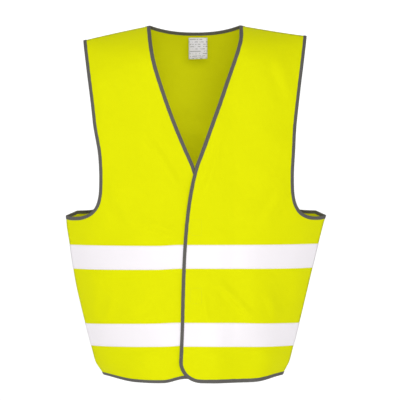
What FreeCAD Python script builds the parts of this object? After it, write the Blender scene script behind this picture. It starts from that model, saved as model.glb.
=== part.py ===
import FreeCAD, Part
import math
import os

# High visibility vest: a sleeveless V-neck garment with a lapped front, bound edges,
# two reflective tapes round the body and a hook-and-loop closure under the lap.
# Millimetres. +Z is up, +X points to the wearer's left, the front faces -Y.
# The origin is midway between the two high points where the neck meets the shoulders.

Vec = FreeCAD.Vector

# ---------------------------------------------------------------- driving dimensions
garment_length = 761.0        # high shoulder point down to the hem at the front
neck_half_width = 97.0
shoulder_half_width = 242.0
shoulder_drop = 27.5          # slope of the shoulder seam, neck to shoulder tip
chest_half_width = 283.0      # at the top of the side seam
hem_half_width = 196.2
hem_side_rise = 7.0           # the hem lifts this much at the side seams
armhole_depth = 411.0         # top of the side seam below the high shoulder points

neck_cross_depth = 304.0      # where the front edge crosses the centre line
neck_curve_power = 1.3        # 1 is a straight V, larger is rounder near the shoulder
front_lap = 33.0              # each front passes the centre by this much at the hem
front_lap_run = 108.0         # how slowly the front edge reaches its full lap
front_corner_radius = 45.0
back_neck_drop = 11.0

front_scoop_half_width = 208.0
front_scoop_drop = 325.0
front_floor_drop = 415.0
back_scoop_half_width = 205.0
back_scoop_drop = 312.0
back_floor_drop = 402.0
armhole_top_power = 1.45
armhole_corner_power = 2.8

chest_depth = 113.0           # front of the chest ahead of the side folds
hem_depth = 121.0
back_depth = 118.0
fold_power = 3.0              # how squarely the body turns into the side folds
front_shoulder_run = 45.0     # how quickly the front leaves the shoulder seam
back_shoulder_run = 52.0
armhole_spread = 25.0         # the form widens by this much above the side seams

fabric_thickness = 1.0
tape_thickness = 0.6
tape_width = 50.0
upper_tape_top = 472.3        # below the high shoulder points
lower_tape_top = 635.3
binding_width = 8.0
binding_thickness = 0.8

patch_width = 26.0
patch_height = 36.0
patch_thickness = 1.2
patch_clearance = 0.5         # each side, to the bindings of both front edges
lower_patch_top = 561.0       # below the high shoulder points
patch_gap = 0.3               # running gap between a hook patch and its loop patch

seam_allowance = 8.0
seam_thickness = 1.4
seam_gap = 0.25               # each side of a seam allowance, between the two panels
seam_inset = 0.2              # the allowance starts this far inside the fold

fold_top_drop = 130.0         # where the fold line of a front meets the neckline
fold_bottom_half_width = 98.0
fold_gap = 0.6
fold_axis_clearance = 0.4     # the turning axis lies this far outside everything

label_width = 38.0
label_height = 44.0
label_offset = 6.5            # the label is sewn in a little towards the wearer's left
label_thickness = 0.5
label_gap = 0.3
rear_leaf_extra = 3.0         # the rear leaf is larger by this much
label_seat_gap = 0.4

# ---------------------------------------------------------------- values that follow
half_inner_gap = seam_thickness / 2 + seam_gap
shoulder_slope = shoulder_drop / (shoulder_half_width - neck_half_width)
side_drop = garment_length - hem_side_rise
side_slope = (chest_half_width - hem_half_width) / (side_drop - armhole_depth)
lap_lift = fabric_thickness + 2 * patch_thickness + patch_gap
lap_full_at = front_lap + 7.0
lap_zero_at = lap_full_at + 45.0
reach = 400.0                 # prisms run this far each way along Y
margin = 40.0                 # surfaces run past the panels by this much
form_step = 22.0              # spacing of the form's knots down the garment
limit_rise = 100.0            # how far the half-garment limit follows the side line upwards

# The upper patches start where the lap is wide enough to hold them between the bindings.
patch_lap_share = (patch_width / 2 + binding_width + patch_clearance) / front_lap
upper_patch_top = neck_cross_depth - front_lap_run * math.log(1 - patch_lap_share)


def shoulder_height(x):
    """Height of the shoulder seam, carried on in a smooth arch across the neck."""
    x = abs(x)
    if x >= neck_half_width:
        return -shoulder_slope * (x - neck_half_width)
    return shoulder_slope * (neck_half_width - x * x / neck_half_width) / 2


def side_half_width(z):
    """Half width of the form: straight side seams, opening smoothly above them."""
    above = z + armhole_depth
    if above <= 0:
        return chest_half_width + side_slope * above
    return chest_half_width + armhole_spread * (1 - math.exp(-side_slope * above / armhole_spread))


def rise_from_shoulder(x, z, run):
    return 1 - math.exp(-(shoulder_height(x) - z) / run)


def section(share):
    return 1 - abs(share) ** fold_power


def smooth(share):
    share = max(0.0, min(1.0, share))
    return share * share * (3 - 2 * share)


def front_depth(x, z, lifted):
    """Distance of the front fabric's inner face ahead of the side folds."""
    share = max(0.0, min(1.0, (-z - neck_cross_depth) / (garment_length - neck_cross_depth)))
    depth = chest_depth + (hem_depth - chest_depth) * share
    bulge = depth * section(x / side_half_width(z)) * rise_from_shoulder(x, z, front_shoulder_run)
    lift = lap_lift * smooth((lap_zero_at - x) / (lap_zero_at - lap_full_at)) if lifted else 0.0
    return half_inner_gap + bulge + lift


def back_depth_at(x, z):
    bulge = back_depth * section(x / side_half_width(z)) * rise_from_shoulder(x, z, back_shoulder_run)
    return half_inner_gap + bulge


def form_face(y_at, low_share, columns):
    """A smooth face through y_at(x, z), from a share of the half width to past the fold."""
    top = shoulder_height(0) + margin / 4
    bottom = -garment_length - margin
    rows = math.ceil((top - bottom) / form_step)
    grid = []
    for row in range(rows + 1):
        z = bottom + (top - bottom) * row / rows
        line = []
        for column in range(columns + 1):
            share = low_share + (past_fold - low_share) * column / columns
            x = share * side_half_width(z)
            line.append(Vec(x, y_at(x, z), z))
        grid.append(line)
    surface = Part.BSplineSurface()
    surface.interpolate(grid)
    return surface.toShape()


# Each form runs a little past its folds, and a front runs past the centre for its lap.
past_fold = 1.06
front_low_share = -0.42
over_form = form_face(lambda x, z: -front_depth(x, z, True), front_low_share, 34)
under_form = form_face(lambda x, z: -front_depth(x, z, False), front_low_share, 34)
back_form = form_face(back_depth_at, -past_fold, 48)


def layer(form, outward, inner, outer):
    """A sheet lying on a form, between two distances out from the fabric's inner face."""
    sheet = form.copy()
    sheet.translate(Vec(0, outward * inner, 0))
    return sheet.extrude(Vec(0, outward * (outer - inner), 0))


# ---------------------------------------------------------------- outlines in X and Z
def at(x, z):
    return Vec(x, -reach, z)


def curve(points):
    spline = Part.BSplineCurve()
    spline.interpolate([at(x, z) for x, z in points])
    return spline


def hem_height(x):
    return -garment_length + hem_side_rise * (abs(x) / hem_half_width) ** 4


def neckline_x(drop):
    return neck_half_width * (1 - (drop / neck_cross_depth) ** neck_curve_power)


def front_edge_points():
    """Neckline, lapped front edge, rounded corner and hem of the wearer's left front."""
    points = []
    for step in range(12):
        drop = neck_cross_depth * step / 12
        points.append((neckline_x(drop), -drop))
    straight_end = garment_length - front_corner_radius
    for step in range(14):
        below = (straight_end - neck_cross_depth) * step / 14
        points.append((-front_lap * (1 - math.exp(-below / front_lap_run)), -neck_cross_depth - below))
    for step in range(7):
        turn = math.radians(15 * step)
        x = -front_lap + front_corner_radius * (1 - math.cos(turn))
        points.append((x, hem_height(x) + front_corner_radius * (1 - math.sin(turn))))
    corner_x = front_corner_radius - front_lap
    for step in range(1, 9):
        x = corner_x + (hem_half_width - corner_x) * step / 8
        points.append((x, hem_height(x)))
    return points


def armhole_points(scoop_half_width, scoop_drop, floor_drop):
    """Shoulder tip down to the narrowest place, then round to the top of the side seam."""
    points = []
    for step in range(8):
        share = step / 8
        spread = (shoulder_half_width - scoop_half_width) * (1 - share) ** armhole_top_power
        points.append((scoop_half_width + spread, -shoulder_drop - (scoop_drop - shoulder_drop) * share))
    wide = chest_half_width - scoop_half_width
    for step in range(10):
        turn = math.radians(10 * step)
        power = 2 / armhole_corner_power
        share = 1 - math.cos(turn) ** power
        fall = (floor_drop - scoop_drop) * math.sin(turn) ** power
        tip = (armhole_depth - floor_drop) * share ** 4
        points.append((scoop_half_width + wide * share, -scoop_drop - fall - tip))
    return points


def face_of(edges):
    return Part.Face(Part.Wire(Part.__sortEdges__(edges)))


def polygon(points):
    corners = [at(x, z) for x, z in points]
    return Part.Face(Part.makePolygon(corners + corners[:1]))


def prism(face):
    return face.extrude(Vec(0, 2 * reach, 0))


def strip(points):
    """The bound band along an outline that has the fabric on its left, as a flat prism."""
    spline = curve(points)
    first, last = spline.FirstParameter, spline.LastParameter
    count = 4 * len(points)
    rails = [[], []]
    for step in range(count + 1):
        where = first + (last - first) * step / count
        middle = spline.value(where)
        along = spline.tangent(where)[0]
        across = Vec(along.z, 0, -along.x)
        for rail, distance in zip(rails, (-binding_width, binding_thickness)):
            rail.append(middle + across * distance)
    edges = []
    for rail in rails:
        edge = Part.BSplineCurve()
        edge.interpolate(rail)
        edges.append(edge.toShape())
    for end in (0, -1):
        edges.append(Part.LineSegment(rails[0][end], rails[1][end]).toShape())
    return prism(face_of(edges))


shoulder_tip = (shoulder_half_width, -shoulder_drop)
side_top = (chest_half_width, -armhole_depth)
side_bottom = (hem_half_width, -side_drop)
shoulder_point = (neck_half_width, 0)

front_edge = front_edge_points()
front_armhole = armhole_points(front_scoop_half_width, front_scoop_drop, front_floor_drop)
back_armhole = armhole_points(back_scoop_half_width, back_scoop_drop, back_floor_drop)


def line(start, end):
    return Part.LineSegment(at(*start), at(*end)).toShape()


front_outline = prism(face_of([
    curve(front_edge).toShape(),
    line(side_bottom, side_top),
    curve(front_armhole).toShape(),
    line(shoulder_tip, shoulder_point),
]))


def back_neck_points():
    points = []
    for step in range(-6, 7):
        share = step / 6
        points.append((neck_half_width * share, back_neck_drop * (abs(share) ** 2.4 - 1)))
    return points


def back_hem_points():
    return [(hem_half_width * step / 8, hem_height(hem_half_width * step / 8)) for step in range(-8, 9)]


def flipped(points):
    return [(-x, z) for x, z in points]


back_outline = prism(face_of([
    curve(back_neck_points()).toShape(),
    line(shoulder_point, shoulder_tip),
    curve(back_armhole).toShape(),
    line(side_top, side_bottom),
    curve(back_hem_points()).toShape(),
    line(flipped([side_bottom])[0], flipped([side_top])[0]),
    curve(flipped(back_armhole)).toShape(),
    line(flipped([shoulder_tip])[0], flipped([shoulder_point])[0]),
]))

# Nothing passes the shoulder seams or the side seams, where front and back meet.
inner_x = -front_lap - margin
wide_x = shoulder_half_width + margin / 2
high_z = -armhole_depth + limit_rise
low_z = -garment_length - margin
half_limit = prism(polygon([
    (inner_x, -shoulder_slope * (inner_x - neck_half_width)),
    (wide_x, -shoulder_slope * (wide_x - neck_half_width)),
    (chest_half_width + side_slope * limit_rise, high_z),
    (chest_half_width + side_slope * (low_z + armhole_depth), low_z),
    (inner_x, low_z),
]))


def flip(shape):
    return shape.mirror(Vec(0, 0, 0), Vec(1, 0, 0))


# ---------------------------------------------------------------- the fold line of a front
fold_top_x = neckline_x(fold_top_drop)
fold_slope = (fold_bottom_half_width - fold_top_x) / (garment_length - fold_top_drop)


def fold_x(z):
    return fold_top_x + fold_slope * (-z - fold_top_drop)


def fold_side(towards, shift):
    """Everything on one side of the slanted fold line, past half the fold gap."""
    high, low = 200.0, -garment_length - 200.0
    far = towards * 2 * reach
    return prism(polygon([
        (fold_x(high) + towards * shift, high),
        (far, high),
        (far, low),
        (fold_x(low) + towards * shift, low),
    ]))


flap_zone = fold_side(-1, fold_gap / 2)
side_zone = fold_side(1, fold_gap / 2)


def fold_axis():
    """A straight line just outside the over front, its slant fitted to the fold line."""
    proud = fabric_thickness + binding_thickness + fold_axis_clearance
    heights = [-fold_top_drop - (garment_length - fold_top_drop) * step / 40 for step in range(41)]
    outer = [-front_depth(fold_x(z), z, True) - proud for z in heights]
    lean = (outer[0] - outer[-1]) / (heights[0] - heights[-1])
    push = min(y - (outer[0] + lean * (z - heights[0])) for y, z in zip(outer, heights))
    ends = []
    for z in (heights[0], heights[-1]):
        ends.append(Vec(fold_x(z), outer[0] + lean * (z - heights[0]) + push, z))
    return ends


# ---------------------------------------------------------------- pieces
pieces = {}


def save(name, shape):
    solids = [solid for solid in shape.Solids if solid.Volume > 1.0]
    pieces[name] = solids[0] if len(solids) == 1 else Part.makeCompound(solids)


def solids_where(shape, wanted):
    return Part.makeCompound([solid for solid in shape.Solids if wanted(solid.CenterOfMass)])


def tape_band(top_drop):
    return Part.makeBox(2 * reach, 2 * reach, tape_width, Vec(-reach, -reach, -top_drop - tape_width))


def patch_prism(top_drop):
    low = (-patch_width / 2, -top_drop - patch_height)
    high = (patch_width / 2, -top_drop)
    return prism(polygon([low, (high[0], low[1]), high, (low[0], high[1])]))


binding_inner = -binding_thickness
binding_outer = fabric_thickness + binding_thickness
tapes = {"upper": upper_tape_top, "lower": lower_tape_top}
patches = {"upper": upper_patch_top, "lower": lower_patch_top}
front_strip = strip(front_edge).common(half_limit)
front_armhole_strip = strip(front_armhole[::-1]).common(half_limit)


def build_front(side, form, turned):
    """One front: fixed side part, turning flap, their bindings and tapes."""
    def keep(name, shape):
        save(name, flip(shape) if turned else shape)

    panel = layer(form, -1, 0, fabric_thickness).common(front_outline)
    thick = layer(form, -1, binding_inner, binding_outer)
    edge_binding = thick.common(front_strip).cut(panel)
    keep(side + "_front_side_panel", panel.common(side_zone))
    keep(side + "_front_flap_panel", panel.common(flap_zone))
    keep(side + "_flap_binding", edge_binding.common(flap_zone))
    fixed = edge_binding.common(side_zone)
    middle = -garment_length / 2
    keep(side + "_neck_binding", solids_where(fixed, lambda c: c.z > middle))
    keep(side + "_hem_binding", solids_where(fixed, lambda c: c.z < middle))
    skin = layer(form, -1, fabric_thickness, fabric_thickness + tape_thickness)
    skin = skin.common(front_outline).cut(front_strip)
    for tape, top_drop in tapes.items():
        band = skin.common(tape_band(top_drop))
        keep("%s_flap_%s_tape" % (side, tape), band.common(flap_zone))
        keep("%s_side_%s_tape" % (side, tape), band.common(side_zone))
    return thick.common(front_armhole_strip).cut(panel)


over_armhole = build_front("left", over_form, False)
under_armhole = flip(build_front("right", under_form, True))

for place, drop in patches.items():
    hook = layer(over_form, -1, -patch_thickness, 0).common(patch_prism(drop))
    loop = layer(under_form, -1, fabric_thickness, fabric_thickness + patch_thickness)
    save(place + "_hook_patch", hook)
    save(place + "_loop_patch", flip(loop.common(patch_prism(drop))))

back_panel = layer(back_form, 1, 0, fabric_thickness).common(back_outline)
back_thick = layer(back_form, 1, binding_inner, binding_outer)
full_limit = half_limit.fuse(flip(half_limit))
save("back_panel", back_panel)

neck_strip = strip(back_neck_points()[::-1]).common(full_limit)
hem_strip = strip(back_hem_points()).common(full_limit)
save("back_neck_binding", back_thick.common(neck_strip).cut(back_panel))
save("back_hem_binding", back_thick.common(hem_strip).cut(back_panel))
back_skin = layer(back_form, 1, fabric_thickness, fabric_thickness + tape_thickness).common(back_outline)
for tape, top_drop in tapes.items():
    save("back_%s_tape" % tape, back_skin.common(tape_band(top_drop)))

back_armhole_strip = strip(back_armhole[::-1]).common(half_limit)
back_arm = back_thick.common(back_armhole_strip).cut(back_panel)
save("left_armhole_binding", Part.makeCompound(over_armhole.Solids + back_arm.Solids))
save("right_armhole_binding", Part.makeCompound(under_armhole.Solids + flip(back_arm).Solids))


# ---------------------------------------------------------------- seam allowances
def seam_strip(start, end, inward):
    """The sewn allowance inside a seam, flat between the two panels."""
    run = Vec(end[0] - start[0], 0, end[1] - start[1])
    run.normalize()
    trim = binding_width + 1.0
    first = Vec(start[0], -seam_thickness / 2, start[1]) + run * trim + inward * seam_inset
    last = Vec(end[0], -seam_thickness / 2, end[1]) - run * trim + inward * seam_inset
    corners = [first, last, last + inward * seam_allowance, first + inward * seam_allowance]
    return Part.Face(Part.makePolygon(corners + corners[:1])).extrude(Vec(0, seam_thickness, 0))


shoulder_inward = Vec(-shoulder_slope, 0, -1)
shoulder_inward.normalize()
side_inward = Vec(-1, 0, side_slope)
side_inward.normalize()
shoulder_seam = seam_strip(shoulder_point, shoulder_tip, shoulder_inward)
side_seam = seam_strip(side_top, side_bottom, side_inward)
for side, shape in (("left", shoulder_seam), ("right", flip(shoulder_seam))):
    save(side + "_shoulder_seam", shape)
for side, shape in (("left", side_seam), ("right", flip(side_seam))):
    save(side + "_side_seam", shape)

# ---------------------------------------------------------------- care label, two leaves
label_top = -back_neck_drop - binding_width - 1.5
label_far_x = label_offset + (label_width + rear_leaf_extra) / 2
label_back_y = back_depth_at(label_far_x, label_top) - label_seat_gap


def leaf(width, height, back_y):
    corner = Vec(label_offset - width / 2, back_y - label_thickness, label_top - height)
    return Part.makeBox(width, label_thickness, height, corner)


rear_y = label_back_y
front_y = rear_y - label_thickness - label_gap
save("rear_label_leaf", leaf(label_width + rear_leaf_extra, label_height + rear_leaf_extra, rear_y))
save("front_label_leaf", leaf(label_width, label_height, front_y))

os.makedirs("parts", exist_ok=True)
for name, shape in pieces.items():
    shape.exportStep("parts/%s.step" % name)
    box = shape.BoundBox
    print("%-26s %d solids %9.0f mm3 valid %s  x %7.1f %7.1f  y %7.1f %7.1f  z %7.1f %7.1f" % (
        name, len(shape.Solids), shape.Volume, shape.isValid(),
        box.XMin, box.XMax, box.YMin, box.YMax, box.ZMin, box.ZMax))
axis_top, axis_bottom = fold_axis()
print("fold axis, wearer's left, top and bottom", axis_top, axis_bottom)
print("label hinge height", label_top, "rear y", rear_y, "front y", front_y)
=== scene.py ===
# %% [markdown]
# # A high visibility vest
# A vest is flat cloth hung over a body: three panels, a grey edging folded over every
# open edge, and two silver tapes. The frame, loaded from the CAD model, fixes the size
# and the joints. Everything below is cloth built in mesh code on one shared form, so the
# tapes, edgings and stitches always lie on the panel beneath them.

# %% frame
import bpy
import bmesh
import math
import numpy as np
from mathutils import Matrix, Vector
from mathutils.geometry import delaunay_2d_cdt


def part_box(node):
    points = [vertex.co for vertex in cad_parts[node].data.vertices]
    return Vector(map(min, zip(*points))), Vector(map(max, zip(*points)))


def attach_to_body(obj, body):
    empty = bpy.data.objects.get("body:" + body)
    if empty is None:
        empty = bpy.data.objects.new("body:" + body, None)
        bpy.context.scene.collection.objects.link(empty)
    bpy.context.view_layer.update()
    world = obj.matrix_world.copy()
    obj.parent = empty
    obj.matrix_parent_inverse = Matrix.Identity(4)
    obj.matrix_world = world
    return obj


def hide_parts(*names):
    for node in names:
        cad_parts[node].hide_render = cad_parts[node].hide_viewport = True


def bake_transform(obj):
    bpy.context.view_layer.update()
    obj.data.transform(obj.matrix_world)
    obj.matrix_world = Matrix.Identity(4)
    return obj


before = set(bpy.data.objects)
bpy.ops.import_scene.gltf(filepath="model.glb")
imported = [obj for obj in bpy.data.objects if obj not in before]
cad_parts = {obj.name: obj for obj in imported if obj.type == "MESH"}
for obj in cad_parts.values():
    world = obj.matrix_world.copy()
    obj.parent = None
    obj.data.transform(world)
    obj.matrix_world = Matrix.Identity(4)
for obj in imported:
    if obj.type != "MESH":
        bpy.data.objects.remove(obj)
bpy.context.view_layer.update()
mm = 0.001

# %% [markdown]
# ## Sizes
# What the frame can tell is read from its nodes. The rest repeats the cut of the vest:
# how the neckline curves, how deep the armholes scoop and how far the fronts overlap.

# %% sizes
back_low, back_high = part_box("back_panel")
label_low, label_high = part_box("front_label_leaf")
rear_low, rear_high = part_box("rear_label_leaf")
length = -back_low[2]
chest_half = back_high[0]
back_depth = 118 * mm
chest_depth, hem_depth = 113 * mm, 121 * mm
neck_half, shoulder_half, shoulder_drop = 97 * mm, 242 * mm, 27.5 * mm
hem_half, hem_rise, armhole_depth = 196.2 * mm, 7 * mm, 411 * mm
neck_cross, neck_power = 304 * mm, 1.3
lap, lap_run, corner_radius = 33 * mm, 108 * mm, 45 * mm
back_neck_drop = 11 * mm
front_scoop = (208 * mm, 325 * mm, 415 * mm, 3.5, 5)
back_scoop = (205 * mm, 312 * mm, 401 * mm, 6.0, 12)
armhole_top_power = 1.45
front_run, back_run, spread, fold_power = 45 * mm, 52 * mm, 25 * mm, 3.0
cloth_thick, tape_thick, binding_wide = 0.5 * mm, 0.3 * mm, 8 * mm
lap_lift, lap_full, lap_zero = 3.7 * mm, 40 * mm, 85 * mm
tape_rows = {t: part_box("back_%s_tape" % t) for t in ("upper", "lower")}
side_slope = (chest_half - hem_half) / (length - hem_rise - armhole_depth)
shoulder_slope = shoulder_drop / (shoulder_half - neck_half)
print("length %.3f, chest half width %.3f, side slope %.3f" % (length, chest_half, side_slope))

# %% [markdown]
# ## The form
# Every panel is a height over the X-Z plane. A cross-section is a lens that closes at the
# side seams, and the depth grows quickly below the shoulder seams. Working with whole
# arrays in numpy keeps this fast enough to call for every vertex and every stitch.


# %% form
def smooth(share):
    share = np.clip(share, 0, 1)
    return share * share * (3 - 2 * share)


def shoulder_height(x):
    x = np.abs(x)
    arch = shoulder_slope * (neck_half - x * x / neck_half) / 2
    return np.where(x >= neck_half, -shoulder_slope * (x - neck_half), arch)


def side_half(z):
    above = z + armhole_depth
    opened = spread * (1 - np.exp(-side_slope * np.maximum(above, 0) / spread))
    return chest_half + np.where(above <= 0, side_slope * above, opened)


def form_depth(panel, x, z):
    """How far the bare form lies ahead of, or behind, the plane of the seams."""
    section = 1 - (np.abs(x) / side_half(z)) ** fold_power
    run = back_run if panel == "back" else front_run
    rise = 1 - np.exp(-(shoulder_height(x) - z) / run)
    if panel == "back":
        return back_depth * section * rise
    share = np.clip((-z - neck_cross) / (length - neck_cross), 0, 1)
    depth = (chest_depth + (hem_depth - chest_depth) * share) * section * rise
    if panel == "left":
        depth = depth + lap_lift * smooth((lap_zero - x) / (lap_zero - lap_full))
    return depth


chest_depths = [float(form_depth("left", x, -0.3)) for x in (0.0, 0.1, 0.2, 0.28)]
print("chest section depths", np.round(chest_depths, 4))

# %% [markdown]
# ## Creases and ripples
# Pressed polyester is nearly flat, so its life is in shallow creases a few millimetres
# high. Each crease is a line with a rounded ridge beside a hollow. They could come from a
# cloth simulation, but a given list keeps them where this vest has them.

# %% relief
def ripples(x, z, seed, shortest, longest, count=14):
    """A smooth random surface of height about 1, from a few sine waves."""
    rng = np.random.default_rng(seed)
    total = np.zeros(np.broadcast(x, z).shape)
    for _ in range(count):
        wave = 2 * math.pi / math.exp(rng.uniform(math.log(shortest), math.log(longest)))
        turn = rng.uniform(0, math.pi)
        phase = rng.uniform(0, 2 * math.pi)
        total += np.sin(wave * (math.cos(turn) * x + math.sin(turn) * z) + phase)
    return total / math.sqrt(count / 2)


def crease(x, z, start, end, width, height):
    """A ridge along a line, fading at both ends, with a hollow on its lower side."""
    ax, az, bx, bz = [v * mm for v in (*start, *end)]
    long = math.hypot(bx - ax, bz - az)
    along = ((x - ax) * (bx - ax) + (z - az) * (bz - az)) / long
    across = ((x - ax) * (bz - az) - (z - az) * (bx - ax)) / long / (width * mm)
    window = smooth(along / (0.35 * long)) * smooth((long - along) / (0.35 * long))
    ridge = np.exp(-across ** 2)
    hollow = 0.6 * np.exp(-(across - 1.6) ** 2)
    return height * mm * window * (ridge - hollow)


# start and end in X and Z, width and height, all in millimetres
front_creases = [
    ((-105, -225), (-25, -360), 6, 2.72),
    ((-96, -250), (-60, -330), 9, 2.04),
    ((-118, -420), (-30, -448), 9, 3.74),
    ((-200, -330), (-120, -450), 14, 3.4),
    ((58, -235), (12, -385), 8, 2.72),
    ((36, -540), (128, -634), 9, 4.42),
    ((12, -560), (26, -640), 7, 2.55),
    ((200, -340), (130, -450), 14, 3.4),
    ((-60, -590), (-110, -640), 10, 2.72),
    ((150, -560), (178, -636), 11, 2.72),
    ((-158, -560), (-182, -636), 11, 2.38),
    ((170, -60), (215, -190), 14, 3.06),
    ((-215, -80), (-190, -210), 14, 3.06),
    ((-120, -40), (-60, -140), 12, 1.7),
    ((118, -50), (88, -150), 12, 1.7),
]
back_creases = [
    ((-90, -60), (-190, -170), 16, 4.08),
    ((90, -60), (190, -170), 16, 4.08),
    ((-60, -190), (70, -215), 18, 3.4),
    ((-215, -420), (-110, -460), 13, 3.74),
    ((215, -420), (110, -460), 13, 3.74),
    ((-20, -545), (-60, -630), 12, 3.4),
    ((90, -550), (60, -632), 12, 3.74),
    ((-150, -560), (-120, -634), 12, 3.06),
    ((30, -300), (50, -440), 20, 3.4),
]


# upright waves that grow towards the hem, slow and fine unevenness, and the small
# gathers beside a sewn tape: heights and wavelengths
wave_high, wave_growth, wave_pitch = 0.8 * mm, 2.2 * mm, 118 * mm
slow_high, slow_shortest, slow_longest = 1.3 * mm, 70 * mm, 250 * mm
fine_high, fine_shortest, fine_longest = 0.12 * mm, 12 * mm, 30 * mm
gather_high, gather_pitch, gather_width = 0.35 * mm, 9.3 * mm, 4 * mm
taped_share = 0.35
pin_reach = 50 * mm


def relief(panel, x, z):
    """Height of the cloth off the bare form. x is the true X, so both fronts share it."""
    lower = smooth((-z - 0.38) / 0.35)
    waves = (wave_high + wave_growth * lower) * np.sin(
        2 * math.pi * x / wave_pitch + 0.8 * np.sin(9 * z))
    slow_seed = 5 if panel == "back" else 3
    total = waves + slow_high * ripples(x, z, slow_seed, slow_shortest, slow_longest)
    total = total + fine_high * ripples(x, z, 11, fine_shortest, fine_longest)
    for start, end, width, height in back_creases if panel == "back" else front_creases:
        total = total + crease(x, z, start, end, width, height)
    for low_corner, high_corner in tape_rows.values():
        middle, half = (low_corner[2] + high_corner[2]) / 2, (high_corner[2] - low_corner[2]) / 2
        off = np.abs(z - middle) - half
        calm = smooth((off + gather_width) / 0.02)
        gather = gather_high * np.sin(2 * math.pi * x / gather_pitch + 2 * np.sin(37 * x))
        total = total * (taped_share + (1 - taped_share) * calm)
        total = total + gather * np.exp(-((off - gather_width) / gather_width) ** 2)
    below_shoulder = shoulder_height(x) - z
    in_from_side = side_half(z) - np.abs(x)
    return total * smooth(below_shoulder / pin_reach) * smooth(in_from_side / pin_reach)


# %% [markdown]
# ## Putting a point on the cloth
# One function turns panel, X, Z and a distance off the cloth into a point. The right
# front is the left one mirrored. Near the seams the offset direction of both panels turns
# to the same way, so that layers of the two meet in a clean mitre.

# %% cloth
def bare(panel, x, z):
    mirror = -1.0 if panel == "right" else 1.0
    away = 1.0 if panel == "back" else -1.0
    y = away * (form_depth(panel, x, z) + relief(panel, mirror * x, z))
    return np.stack(np.broadcast_arrays(mirror * x, y, z), -1)


# the hang of the front edges along X: the left neckline bows out near its top and its
# lapped edge hangs a little to the left, and the right neckline draws in at the chest
left_neck_bow, left_edge_lean, right_neck_draw = 4 * mm, 3 * mm, 6 * mm


def front_edge_lean(depth, on_left):
    """How far a front edge leans along X at a depth below the shoulder."""
    bow = left_neck_bow * smooth(depth / 0.04) * (1 - smooth((depth - 0.04) / 0.10))
    lean = left_edge_lean * smooth((depth - 0.20) / 0.13) * (1 - smooth((depth - 0.62) / 0.14))
    draw = right_neck_draw * smooth(depth / 0.10) * (1 - smooth((depth - 0.18) / 0.24))
    return np.where(on_left, bow + lean, -draw)


# how far the rest of the cloth settles: the left shoulder up, tape ends down, the
# wearer's right side out and a touch lower, underarms across, hem corners in and up
shoulder_up, tape_ends_down, right_side_down = 5 * mm, 7 * mm, 2.2 * mm
underarm_across, underarm_lean = 3.7 * mm, 1.8 * mm
right_side_out = 11.5 * mm
corner_in, corner_up = 6.5 * mm, 4.5 * mm
right_hem_up = 8 * mm


def settle(points, panel):
    """The hang of this vest: one shoulder higher, one side fuller, tape ends lower."""
    x, z = points[..., 0], points[..., 2]
    depth = -z
    moved = points.copy()
    high = smooth((0.32 - depth) / 0.30)
    low = smooth((depth - 0.46) / 0.19)
    moved[..., 2] += shoulder_up * high * (x / shoulder_half) ** 3
    moved[..., 2] -= tape_ends_down * low * np.clip(np.abs(x) / 0.2, 0, 1.1) ** 2
    on_right = smooth((-x - 0.03) / 0.05)
    between = smooth((depth - 0.38) / 0.08) * smooth((0.70 - depth) / 0.12)
    moved[..., 2] -= right_side_down * on_right * between
    underarm = smooth((depth - 0.21) / 0.08) * smooth((0.44 - depth) / 0.05)
    across = underarm_across - underarm_lean * x / 0.21
    moved[..., 0] += across * underarm * smooth((np.abs(x) - 0.08) / 0.08)
    near_middle = smooth((0.19 - np.abs(x)) / 0.09)
    if panel == "back":
        near_middle = near_middle * smooth((0.10 - depth) / 0.06)
    on_left = x > 0 if panel == "back" else panel == "left"
    moved[..., 0] += near_middle * front_edge_lean(depth, on_left)
    fuller = smooth((depth - 0.405) / 0.17) * (1 - 0.4 * smooth((depth - 0.72) / 0.045))
    moved[..., 0] -= right_side_out * fuller * smooth((-x - 0.02) / 0.17)
    corner = smooth((depth - 0.715) / 0.045) * smooth((np.abs(x) - 0.12) / 0.07)
    moved[..., 0] -= np.sign(x) * corner_in * corner
    moved[..., 2] += corner_up * corner
    if panel == "right":
        under_lap = smooth((x + 0.065) / 0.045) * smooth((0.03 - x) / 0.02)
        moved[..., 2] += right_hem_up * under_lap * smooth((depth - 0.66) / 0.09)
    return moved


def on_cloth(panel, x, z, out=0.0):
    """Points at a distance out from the cloth's inner face, along its normal."""
    x, z, out = (np.asarray(v, float) for v in (x, z, out))
    x, z, out = np.broadcast_arrays(x, z, out)
    step = 0.4 * mm
    centre = bare(panel, x, z)
    normal = np.cross(bare(panel, x + step, z) - centre, bare(panel, x, z + step) - centre)
    normal *= -1.0 if panel in ("right", "back") else 1.0
    near = np.minimum(np.abs(shoulder_height(x) - z), np.abs(side_half(z) - np.abs(x)))
    normal[..., 1] *= 1 - np.exp(-(near / (5 * mm)) ** 2)
    normal /= np.linalg.norm(normal, axis=-1, keepdims=True)
    return settle(centre + normal * out[..., None], panel)


print("front point", on_cloth("left", 0.1, -0.3, 0).round(4))

# %% [markdown]
# ## Outlines
# An outline is a polyline in X and Z, worked out from the cut. It gives the edge of the
# cloth for the cutter below, and the path for the edging that is folded over it.


# %% outlines
edge_points = 120


def hem_height(x):
    return -length + hem_rise * (np.abs(x) / hem_half) ** 4


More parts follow.
